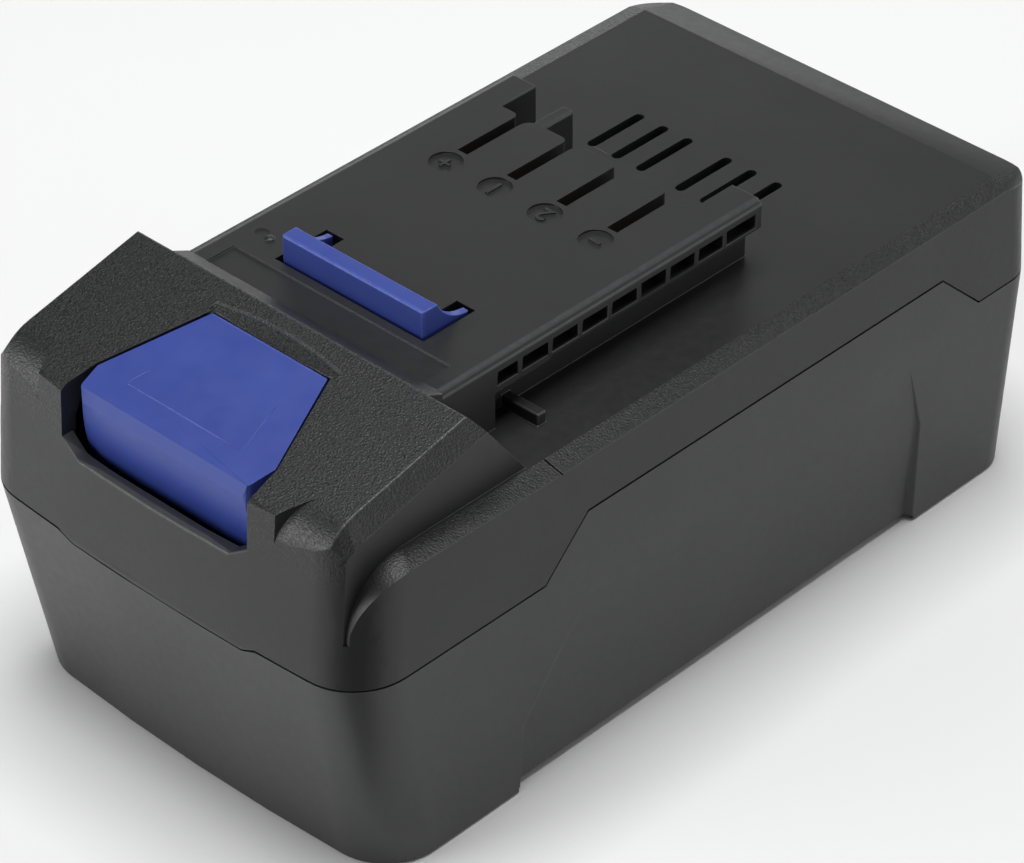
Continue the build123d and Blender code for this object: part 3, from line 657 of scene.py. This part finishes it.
def upperWidth(edge):
    at = upperSpots
    spot = middleOf(edge)
    side = abs(spot.x)
    reach = spot.y - frontEnd
    lowest = min(face.normal.z for face in edge.link_faces)
    if lowest < -rounding["level"] and spot.z < deckTop - at["partingDrop"]:
        return upperEdges["parting"]
    if side > at["crispHalf"] and reach < at["crispReach"]:
        return 0.0
    if not edge.is_convex:
        return rounding["concave"]
    if reach < at["lipReach"] and at["lipLow"] < spot.z < at["lipHigh"] and side < at["lipHalf"]:
        return upperEdges["lip"]
    nose = reach < at["noseReach"] and spot.z > deckTop - at["noseDrop"]
    if nose and at["noseInner"] < side < at["noseOuter"]:
        return upperEdges["nose"]
    top = spot.z > railTop - at["topDrop"]
    if top and at["slotFront"] < spot.y < at["slotRear"] and abs(edgeRun(edge).y) > at["lengthwise"]:
        return upperEdges["slot"]
    if top and side > at["flangeHalf"]:
        return upperEdges["flange"]
    return rounding["convex"]


# Round cutters that reach the depth below the top and stand above it
def discs(name, places, radius, top, depth):
    work = bmesh.new()
    for x, y in places:
        lift = Matrix.Translation((x, y, top + depth / 2))
        bmesh.ops.create_cone(work, cap_ends=True, segments=marks["sides"], radius1=radius,
                              radius2=radius, depth=depth * 3, matrix=lift)
    return fromWork(name, work)


def slotPlaces():
    middle = (layout["slots"] - 1) / 2
    return [(i - middle) * layout["slotPitch"] for i in range(layout["slots"])]


# Where the coarse grain lies: on the head before its ridge, and on the deck's outer bevel
coarseSpots = {
    "ridgeReach": 0.0002,
    "headHalf": 0.0340,
    "headRise": 0.05,
    "bevelInner": 0.0324,
    "bevelHeight": 0.0075,
    "bevelSteep": 0.3,
    "bevelLevel": 0.985,
}


def onHead(face):
    at = coarseSpots
    spot = face.calc_center_median()
    within = spot.y < ridgePlace + at["ridgeReach"] and abs(spot.x) < at["headHalf"]
    return within and face.normal.z > at["headRise"]


def onBevel(face):
    at = coarseSpots
    spot = face.calc_center_median()
    within = abs(spot.x) > at["bevelInner"] and deckTop - at["bevelHeight"] < spot.z < deckTop
    return within and at["bevelSteep"] < face.normal.z < at["bevelLevel"]


def shareOf(face):
    if onBevel(face):
        return coarseLook["bevelShare"]
    return 1.0 if onHead(face) else 0.0


# Writes down which faces have the coarse grain: 1 on the head, where it fades, and more on the bevel
def paintCoarse(piece):
    coarse = piece.data.attributes.new("coarse", "FLOAT", "FACE")
    work = bmesh.new()
    work.from_mesh(piece.data)
    shares = [shareOf(face) for face in work.faces]
    work.free()
    coarse.data.foreach_set("value", shares)


def makeUpperCase():
    piece = mergedCopy("upper_shell", "upperCase")
    places = [(x, marks["place"]) for x in slotPlaces()]
    carve(piece, discs("markRecess", places, marks["radius"], railTop, marks["depth"]))
    gate = discs("gateRecess", [marks["gatePlace"]], marks["gateRadius"], railTop, marks["depth"] / 2)
    carve(piece, gate)
    roundEdges(piece, upperWidth)
    settle(piece)
    paintCoarse(piece)
    dressMoulding(piece, housingPlastic)
    smoothByArea(piece)
    hand(piece, "pack", "housing", "upper_shell")
    return piece


upperCase = makeUpperCase()
print("upper shell:", len(upperCase.data.polygons), "faces")


# Lower shell
lowerEdges = {"parting": 0.00010, "foot": 0.0005, "panel": 0.0009}
lowerSpots = {"footTop": 0.002, "panelHalf": 0.030, "panelFront": -0.040, "panelRear": 0.060}


def lowerWidth(edge):
    at = lowerSpots
    spot = middleOf(edge)
    rises = [face.normal.z for face in edge.link_faces]
    if max(rises) > rounding["level"]:
        return lowerEdges["parting"]
    if not edge.is_convex:
        return rounding["concave"]
    if min(rises) < -rounding["level"] and spot.z < at["footTop"]:
        return lowerEdges["foot"]
    if abs(spot.x) > at["panelHalf"] and at["panelFront"] < spot.y < at["panelRear"]:
        return lowerEdges["panel"]
    return rounding["convex"]


def makeLowerCase():
    piece = mergedCopy("lower_shell", "lowerCase")
    roundEdges(piece, lowerWidth)
    settle(piece)
    # The lower shell's paler, more reflective plastic is painted light
    dressMoulding(piece, paintedLightLowerPlastic)
    smoothByArea(piece)
    hand(piece, "pack", "housing", "lower_shell")
    return piece


lowerCase = makeLowerCase()
print("lower shell:", len(lowerCase.data.polygons), "faces")


# Latch: button with an engraved frame, hook with two gussets
latchEdges = {"button": 0.00055, "hook": 0.0004, "buttonLift": 0.004}
frameLines = {
    "front": -0.0652,
    "frontHalf": 0.0113,
    "rear": -0.0550,
    "rearHalf": 0.0087,
    "leftShare": 0.40,
    "rightShare": 0.85,
    "sideGap": 0.0003,
    "width": 0.00016,
    "depth": 0.00014,
    "lift": 0.0002,
    "steps": 10,
    "fadeStart": 0.08,
    "leastWidth": 0.3,
}


def latchWidth(edge):
    spot = middleOf(edge)
    if not edge.is_convex:
        return rounding["concave"]
    if spot.y < ridgePlace and spot.z > latchBottom + latchEdges["buttonLift"]:
        return latchEdges["button"]
    return latchEdges["hook"]


def buttonTop(y):
    return ridgeTop + (y - ridgePlace) * headSlope - layout["buttonGap"]


# A groove that runs out at both ends: a wedge below the button's top, along a line
def grooveCutter(name, start, end):
    verts = []
    faces = []
    run = Vector((end[0] - start[0], end[1] - start[1], 0))
    side = Vector((-run.y, run.x, 0)).normalized() * frameLines["width"]
    least = frameLines["leastWidth"]
    for i in range(frameLines["steps"] + 1):
        share = i / frameLines["steps"]
        along = frameLines["fadeStart"] + share * (1 - frameLines["fadeStart"])
        fade = math.sin(math.pi * min(1.0, along)) ** 0.5
        x = start[0] + run.x * share
        y = start[1] + run.y * share
        z = buttonTop(y)
        width = side * (least + (1 - least) * fade)
        above = Vector((x, y, z + frameLines["lift"]))
        verts += [above + width, above - width, Vector((x, y, z - frameLines["depth"] * fade))]
        if i:
            a = 3 * (i - 1)
            b = 3 * i
            faces += [(a, a + 1, b + 1, b), (a + 1, a + 2, b + 2, b + 1), (a + 2, a, b, b + 2)]
    last = 3 * frameLines["steps"]
    faces += [(2, 1, 0), (last, last + 1, last + 2)]
    cutter = meshPiece(name, verts, faces)
    faceOutward(cutter)
    return cutter


def makeLatchPiece():
    piece = mergedCopy("latch", "latchPiece")
    front = frameLines["front"]
    half = frameLines["frontHalf"]
    rearHalf = frameLines["rearHalf"]
    run = frameLines["rear"] - front
    carve(piece, grooveCutter("frontLine", (-half, front), (half, front)))
    for side, share in ((-1, frameLines["leftShare"]), (1, frameLines["rightShare"])):
        end = (side * (half + (rearHalf - half) * share), front + run * share)
        start = (side * half, front + frameLines["sideGap"])
        carve(piece, grooveCutter("sideLine", start, end))
    roundEdges(piece, latchWidth)
    settle(piece)
    dressMoulding(piece, bluePlastic)
    smoothByArea(piece)
    hand(piece, "latch", "latch", "latch")
    return piece


latchPiece = makeLatchPiece()
print("latch:", len(latchPiece.data.polygons), "faces")


# Signs in the recesses beside the terminal slots, read from the rear, and the gate's dome
signs = {"words": ("+", "1", "2", "−"), "size": 0.0043, "lift": 0.00018, "bevel": 0.00004,
         "merge": 0.000001}


def signMesh(word, x, y):
    curve = bpy.data.curves.new("sign", "FONT")
    curve.body = word
    curve.size = signs["size"]
    curve.align_x = "CENTER"
    curve.align_y = "CENTER"
    curve.extrude = signs["lift"]
    curve.bevel_depth = signs["bevel"]
    text = linked("sign", curve)
    mesh = bpy.data.meshes.new_from_object(text.evaluated_get(bpy.context.evaluated_depsgraph_get()))
    bpy.data.objects.remove(text)
    turn = Matrix.Rotation(math.pi, 4, "Z")
    mesh.transform(Matrix.Translation((x, y, railTop - marks["depth"])) @ turn)
    return mesh


def makeTerminalMarks():
    work = bmesh.new()
    for word, x in zip(signs["words"], slotPlaces()):
        work.from_mesh(signMesh(word, x, marks["place"]))
    bmesh.ops.remove_doubles(work, verts=work.verts, dist=signs["merge"])
    x, y = marks["domePlace"]
    flatten = Matrix.Diagonal((1.0, 1.0, marks["domeHeight"], 1.0))
    place = Matrix.Translation((x, y, railTop - marks["domeSink"])) @ flatten
    bmesh.ops.create_uvsphere(work, u_segments=32, v_segments=16, radius=marks["domeRadius"], matrix=place)
    piece = fromWork("terminalMarks", work)
    piece.data.materials.append(housingPlastic)
    smoothByArea(piece)
    hand(piece, "pack", "housing")
    return piece


makeTerminalMarks()
print("terminal signs are placed")


# Nodes that make what repeats: the screws and the springs
roundness = {"rod": 48, "turn": 20}


def reckon(tree, kind, *values):
    node = addNode(tree, "ShaderNodeMath", operation=kind)
    for socket, value in zip(node.inputs, values):
        feed(tree, socket, value)
    return node.outputs[0]


def vectorOf(tree, x, y, z):
    node = addNode(tree, "ShaderNodeCombineXYZ")
    for socket, value in zip(node.inputs, (x, y, z)):
        feed(tree, socket, value)
    return node.outputs[0]


def moved(tree, geometry, place):
    node = addNode(tree, "GeometryNodeTransform")
    tree.links.new(geometry, node.inputs["Geometry"])
    tree.links.new(place, node.inputs["Translation"])
    return node.outputs["Geometry"]


def rod(tree, radius, depth, low):
    node = addNode(tree, "GeometryNodeMeshCylinder")
    node.inputs["Vertices"].default_value = roundness["rod"]
    feed(tree, node.inputs["Radius"], radius)
    feed(tree, node.inputs["Depth"], depth)
    middle = reckon(tree, "MULTIPLY_ADD", depth, 0.5, low)
    return moved(tree, node.outputs["Mesh"], vectorOf(tree, 0.0, 0.0, middle))


# Sweeps a round wire along a coil, which goes round so many times while it rises
def coil(tree, radius, turns, rise, wire, sides):
    spiral = addNode(tree, "GeometryNodeCurveSpiral")
    spiral.inputs["Resolution"].default_value = roundness["turn"]
    for name, value in (("Rotations", turns), ("Start Radius", radius), ("End Radius", radius),
                        ("Height", rise)):
        feed(tree, spiral.inputs[name], value)
    section = addNode(tree, "GeometryNodeCurvePrimitiveCircle", mode="RADIUS")
    section.inputs["Resolution"].default_value = sides
    feed(tree, section.inputs["Radius"], wire)
    swept = addNode(tree, "GeometryNodeCurveToMesh")
    tree.links.new(spiral.outputs["Curve"], swept.inputs["Curve"])
    tree.links.new(section.outputs["Curve"], swept.inputs["Profile Curve"])
    swept.inputs["Fill Caps"].default_value = True
    return swept.outputs["Mesh"]


# A tree with its named inputs; it returns their identifiers, which a modifier needs
def startTree(name, sizes):
    tree = bpy.data.node_groups.new(name, "GeometryNodeTree")
    tree.interface.new_socket("Geometry", in_out="INPUT", socket_type="NodeSocketGeometry")
    inputs = {}
    for size in sizes:
        socket = tree.interface.new_socket(size, in_out="INPUT", socket_type="NodeSocketFloat")
        inputs[size] = socket.identifier
    tree.interface.new_socket("Geometry", in_out="OUTPUT", socket_type="NodeSocketGeometry")
    return tree, inputs, addNode(tree, "NodeGroupInput").outputs


# Joins the parts, sets them at the points with a turn about X, and gives them their finish
def endTree(tree, points, parts, turn, material):
    whole = addNode(tree, "GeometryNodeJoinGeometry")
    for part in parts:
        tree.links.new(part, whole.inputs["Geometry"])
    turned = addNode(tree, "FunctionNodeEulerToRotation")
    tree.links.new(vectorOf(tree, turn, 0.0, 0.0), turned.inputs[0])
    spot = addNode(tree, "GeometryNodeInstanceOnPoints")
    tree.links.new(points, spot.inputs["Points"])
    tree.links.new(whole.outputs["Geometry"], spot.inputs["Instance"])
    tree.links.new(turned.outputs[0], spot.inputs["Rotation"])
    real = addNode(tree, "GeometryNodeRealizeInstances")
    tree.links.new(spot.outputs["Instances"], real.inputs["Geometry"])
    dressed = addNode(tree, "GeometryNodeSetMaterial")
    tree.links.new(real.outputs["Geometry"], dressed.inputs["Geometry"])
    dressed.inputs["Material"].default_value = material
    out = addNode(tree, "NodeGroupOutput")
    tree.links.new(dressed.outputs["Geometry"], out.inputs["Geometry"])


# Head with a crossed recess, shank and thread
screwSizes = {
    "case_screws": {"name": "caseScrews", "headRadius": 0.00280, "headHeight": 0.0022,
                    "shankRadius": 0.00145, "pitch": 0.0011, "turn": 0.0},
    "board_screws": {"name": "boardScrews", "headRadius": 0.00220, "headHeight": 0.0015,
                     "shankRadius": 0.00098, "pitch": 0.0008, "turn": math.pi},
}
screwShape = {"thread": 0.00022, "threadSink": 0.35, "threadSides": 5, "threadShare": 0.86,
              "threadStart": 0.08, "recessWidth": 0.30, "recessLength": 1.25, "recessDepth": 0.45}


def screwTree():
    sizes = ("headRadius", "headHeight", "shankRadius", "length", "pitch", "turn")
    tree, inputs, given = startTree("screws", sizes)
    head, tall = given["headRadius"], given["headHeight"]
    cut = addNode(tree, "GeometryNodeMeshBoolean", operation="DIFFERENCE", solver="EXACT")
    tree.links.new(rod(tree, head, tall, 0.0), cut.inputs["Mesh 1"])
    deep = reckon(tree, "MULTIPLY", tall, 2 * screwShape["recessDepth"])
    wide = reckon(tree, "MULTIPLY", head, screwShape["recessWidth"])
    long = reckon(tree, "MULTIPLY", head, screwShape["recessLength"])
    for size in (vectorOf(tree, wide, long, deep), vectorOf(tree, long, wide, deep)):
        bar = addNode(tree, "GeometryNodeMeshCube")
        tree.links.new(size, bar.inputs["Size"])
        tree.links.new(bar.outputs["Mesh"], cut.inputs["Mesh 2"])
    shank = reckon(tree, "SUBTRACT", given["length"], tall)
    threaded = reckon(tree, "MULTIPLY", shank, screwShape["threadShare"])
    turns = reckon(tree, "DIVIDE", threaded, given["pitch"])
    sink = screwShape["thread"] * screwShape["threadSink"]
    radius = reckon(tree, "SUBTRACT", given["shankRadius"], sink)
    thread = coil(tree, radius, turns, threaded, screwShape["thread"], screwShape["threadSides"])
    start = reckon(tree, "MULTIPLY_ADD", shank, screwShape["threadStart"], tall)
    parts = [cut.outputs["Mesh"], rod(tree, given["shankRadius"], shank, tall),
             moved(tree, thread, vectorOf(tree, 0.0, 0.0, start))]
    endTree(tree, given["Geometry"], parts, given["turn"], inside["screwSteel"])
    return tree, inputs


# Spring wire: the open turns, and a flat turn at each end
springShape = {"radius": 0.0024, "wire": 0.00039, "turns": 4.0, "flatTurns": 0.9, "flatRise": 0.02,
               "sides": 12, "press": 0.0045}


def springTree():
    tree, inputs, given = startTree("springs", ("radius", "wire", "turns", "rise"))
    wire, radius = given["wire"], given["radius"]
    sides = springShape["sides"]
    flat = reckon(tree, "MULTIPLY", wire, springShape["flatRise"])
    openTurns = coil(tree, radius, given["turns"], given["rise"], wire, sides)
    parts = [moved(tree, openTurns, vectorOf(tree, 0.0, 0.0, wire))]
    for height in (wire, reckon(tree, "ADD", given["rise"], wire)):
        turn = coil(tree, radius, springShape["flatTurns"], flat, wire, sides)
        parts.append(moved(tree, turn, vectorOf(tree, 0.0, 0.0, height)))
    endTree(tree, given["Geometry"], parts, 0.0, inside["springSteel"])
    return tree, inputs


# The box of each separate part of a node, as its low and high corner, in the order of their places
def partsOf(node):
    work = bmesh.new()
    work.from_mesh(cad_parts[node].data)
    bmesh.ops.remove_doubles(work, verts=work.verts, dist=rounding["merge"])
    left = set(work.verts)
    boxes = []
    while left:
        queue = [left.pop()]
        found = []
        while queue:
            vert = queue.pop()
            found.append(vert.co.copy())
            for edge in vert.link_edges:
                other = edge.other_vert(vert)
                if other in left:
                    left.remove(other)
                    queue.append(other)
        boxes.append([Vector([pick(co[i] for co in found) for i in range(3)]) for pick in (min, max)])
    work.free()
    return sorted(boxes, key=lambda box: tuple(box[0]))


def makeRepeats(name, points, tree, inputs, sizes):
    piece = meshPiece(name, points, [])
    made = piece.modifiers.new(name, "NODES")
    made.node_group = tree
    for size, value in sizes.items():
        made[inputs[size]] = value
    settle(piece)
    faceOutward(piece)
    smoothByArea(piece)
    print(name + ":", len(points), "alike,", len(piece.data.polygons), "faces")
    return piece


allScrews, screwInputs = screwTree()
for screwNode, screwValues in screwSizes.items():
    screwBoxes = partsOf(screwNode)
    screwLow, screwHigh = screwBoxes[0]
    upright = screwValues["turn"] == 0.0
    screwPoints = [((low.x + high.x) / 2, (low.y + high.y) / 2, low.z if upright else high.z)
                   for low, high in screwBoxes]
    sizes = {key: value for key, value in screwValues.items() if key != "name"}
    sizes["length"] = screwHigh.z - screwLow.z
    screws = makeRepeats(screwValues["name"], screwPoints, allScrews, screwInputs, sizes)
    hand(screws, "pack", "screw", screwNode)

allSprings, springInputs = springTree()
for springNode, springName in (("latch_spring_left", "latchSpringLeft"),
                               ("latch_spring_right", "latchSpringRight")):
    springLow, springHigh = partsOf(springNode)[0]
    middle = (springLow + springHigh) / 2
    base = (middle.x, middle.y, springLow.z)
    tall = springHigh.z - springLow.z
    sizes = {"radius": springShape["radius"], "wire": springShape["wire"], "turns": springShape["turns"],
             "rise": tall - 2 * springShape["wire"]}
    spring = makeRepeats(springName, [base], allSprings, springInputs, sizes)
    hand(spring, "pack", "spring_steel", springNode)
    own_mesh(spring)


# Camera, as it stood for the photograph
camera = {
    "place": (0.36682, -0.38390, 0.41473),
    "right": (0.722954, 0.690891, -0.002826),
    "down": (0.407985, -0.430212, -0.805274),
    "forward": (-0.557572, 0.581023, -0.592896),
    "lens": 157.143,
    "sensor": 36.0,
}


def addCamera():
    data = bpy.data.cameras.new("camera")
    data.lens = camera["lens"]
    data.sensor_width = camera["sensor"]
    data.sensor_fit = "HORIZONTAL"
    data.clip_start = 0.01
    data.clip_end = 20.0
    eye = linked("camera", data)
    axes = Matrix((camera["right"], -Vector(camera["down"]), -Vector(camera["forward"])))
    eye.matrix_world = Matrix.Translation(Vector(camera["place"])) @ axes.transposed().to_4x4()
    bpy.context.scene.camera = eye


addCamera()
print("camera is placed")


# Studio: white floor and backdrop, soft lamps
studio = {
    "floorSize": 3.0,
    "floorTone": 0.95,
    "worldColour": (0.95, 0.97, 1.0),
    "worldStrength": 0.06,
    "lamps": {
        "rearLeftLamp": {"place": (-0.80, 0.80, 0.25), "size": (0.60, 0.30), "power": 1.4},
        "overheadLamp": {"place": (0.0, 0.0, 0.90), "size": (0.50, 0.50), "power": 6.0},
        "frontLamp": {"place": (-0.45, -0.75, 0.35), "size": (0.60, 0.40), "power": 3.6},
        "rearLamp": {"place": (0.10, 0.90, 0.35), "size": (0.60, 0.40), "power": 2.2},
        "sideLamp": {"place": (0.75, 0.45, 0.30), "size": (0.50, 0.40), "power": 0.65},
        "rightSweep": {"place": (1.10, 0.20, 0.14), "size": (2.00, 0.26), "power": 2.2},
        "frontSweep": {"place": (-0.10, -1.20, 0.14), "size": (2.00, 0.26), "power": 1.5},
    },
    "aim": (0.0, 0.0, 0.03),
    "cardLift": 0.0005,
    "cards": {
        "blackCard": ((0.040, -0.48), (0.48, -0.074), 0.02),
        "greyCard": ((0.040, -0.0735), (0.60, 0.60), 0.70),
    },
}


# White for what the camera sees, straight or through clear pieces, and a dim fill for the rest
def addWorld():
    world = bpy.data.worlds.new("studio")
    world.use_nodes = True
    tree = world.node_tree
    tree.nodes.clear()
    path = addNode(tree, "ShaderNodeLightPath")
    white = addNode(tree, "ShaderNodeMath", operation="MAXIMUM")
    tree.links.new(path.outputs["Is Camera Ray"], white.inputs[0])
    tree.links.new(path.outputs["Is Transmission Ray"], white.inputs[1])
    seen = addNode(tree, "ShaderNodeBackground")
    seen.inputs["Color"].default_value = (1.0, 1.0, 1.0, 1.0)
    seen.inputs["Strength"].default_value = 1.0
    fill = addNode(tree, "ShaderNodeBackground")
    fill.inputs["Color"].default_value = (*studio["worldColour"], 1.0)
    fill.inputs["Strength"].default_value = studio["worldStrength"]
    mix = addNode(tree, "ShaderNodeMixShader")
    tree.links.new(white.outputs["Value"], mix.inputs["Fac"])
    tree.links.new(fill.outputs["Background"], mix.inputs[1])
    tree.links.new(seen.outputs["Background"], mix.inputs[2])
    out = addNode(tree, "ShaderNodeOutputWorld")
    tree.links.new(mix.outputs["Shader"], out.inputs["Surface"])
    bpy.context.scene.world = world


def paper(name, low, high, z, tone):
    corners = [(low[0], low[1], z), (high[0], low[1], z), (high[0], high[1], z), (low[0], high[1], z)]
    sheet = meshPiece(name, corners, [(0, 1, 2, 3)])
    material, _, shader = newMaterial(name)
    shader.inputs["Base Color"].default_value = (tone, tone, tone, 1.0)
    shader.inputs["Roughness"].default_value = 0.9
    sheet.data.materials.append(material)
    return sheet


def addFloor():
    half = studio["floorSize"] / 2
    paper("floor", (-half, -half), (half, half), 0.0, studio["floorTone"])


# Cards on the floor that only reflections show: black before the near corner, grey at the right
def addCard(name, low, high, tone):
    card = paper(name, low, high, studio["cardLift"], tone)
    card.visible_camera = False
    card.visible_diffuse = False
    card.visible_shadow = False


def addLamp(name, lamp):
    data = bpy.data.lights.new(name, "AREA")
    data.shape = "RECTANGLE"
    data.size, data.size_y = lamp["size"]
    data.energy = lamp["power"]
    light = linked(name, data)
    light.location = Vector(lamp["place"])
    light.rotation_mode = "QUATERNION"
    light.rotation_quaternion = (light.location - Vector(studio["aim"])).to_track_quat("Z", "Y")


addWorld()
addFloor()
for cardName, (cardLow, cardHigh, cardTone) in studio["cards"].items():
    addCard(cardName, cardLow, cardHigh, cardTone)
for lampName, lampValues in studio["lamps"].items():
    addLamp(lampName, lampValues)
bpy.context.scene.view_settings.view_transform = "Standard"
print("floor and lamps are placed")
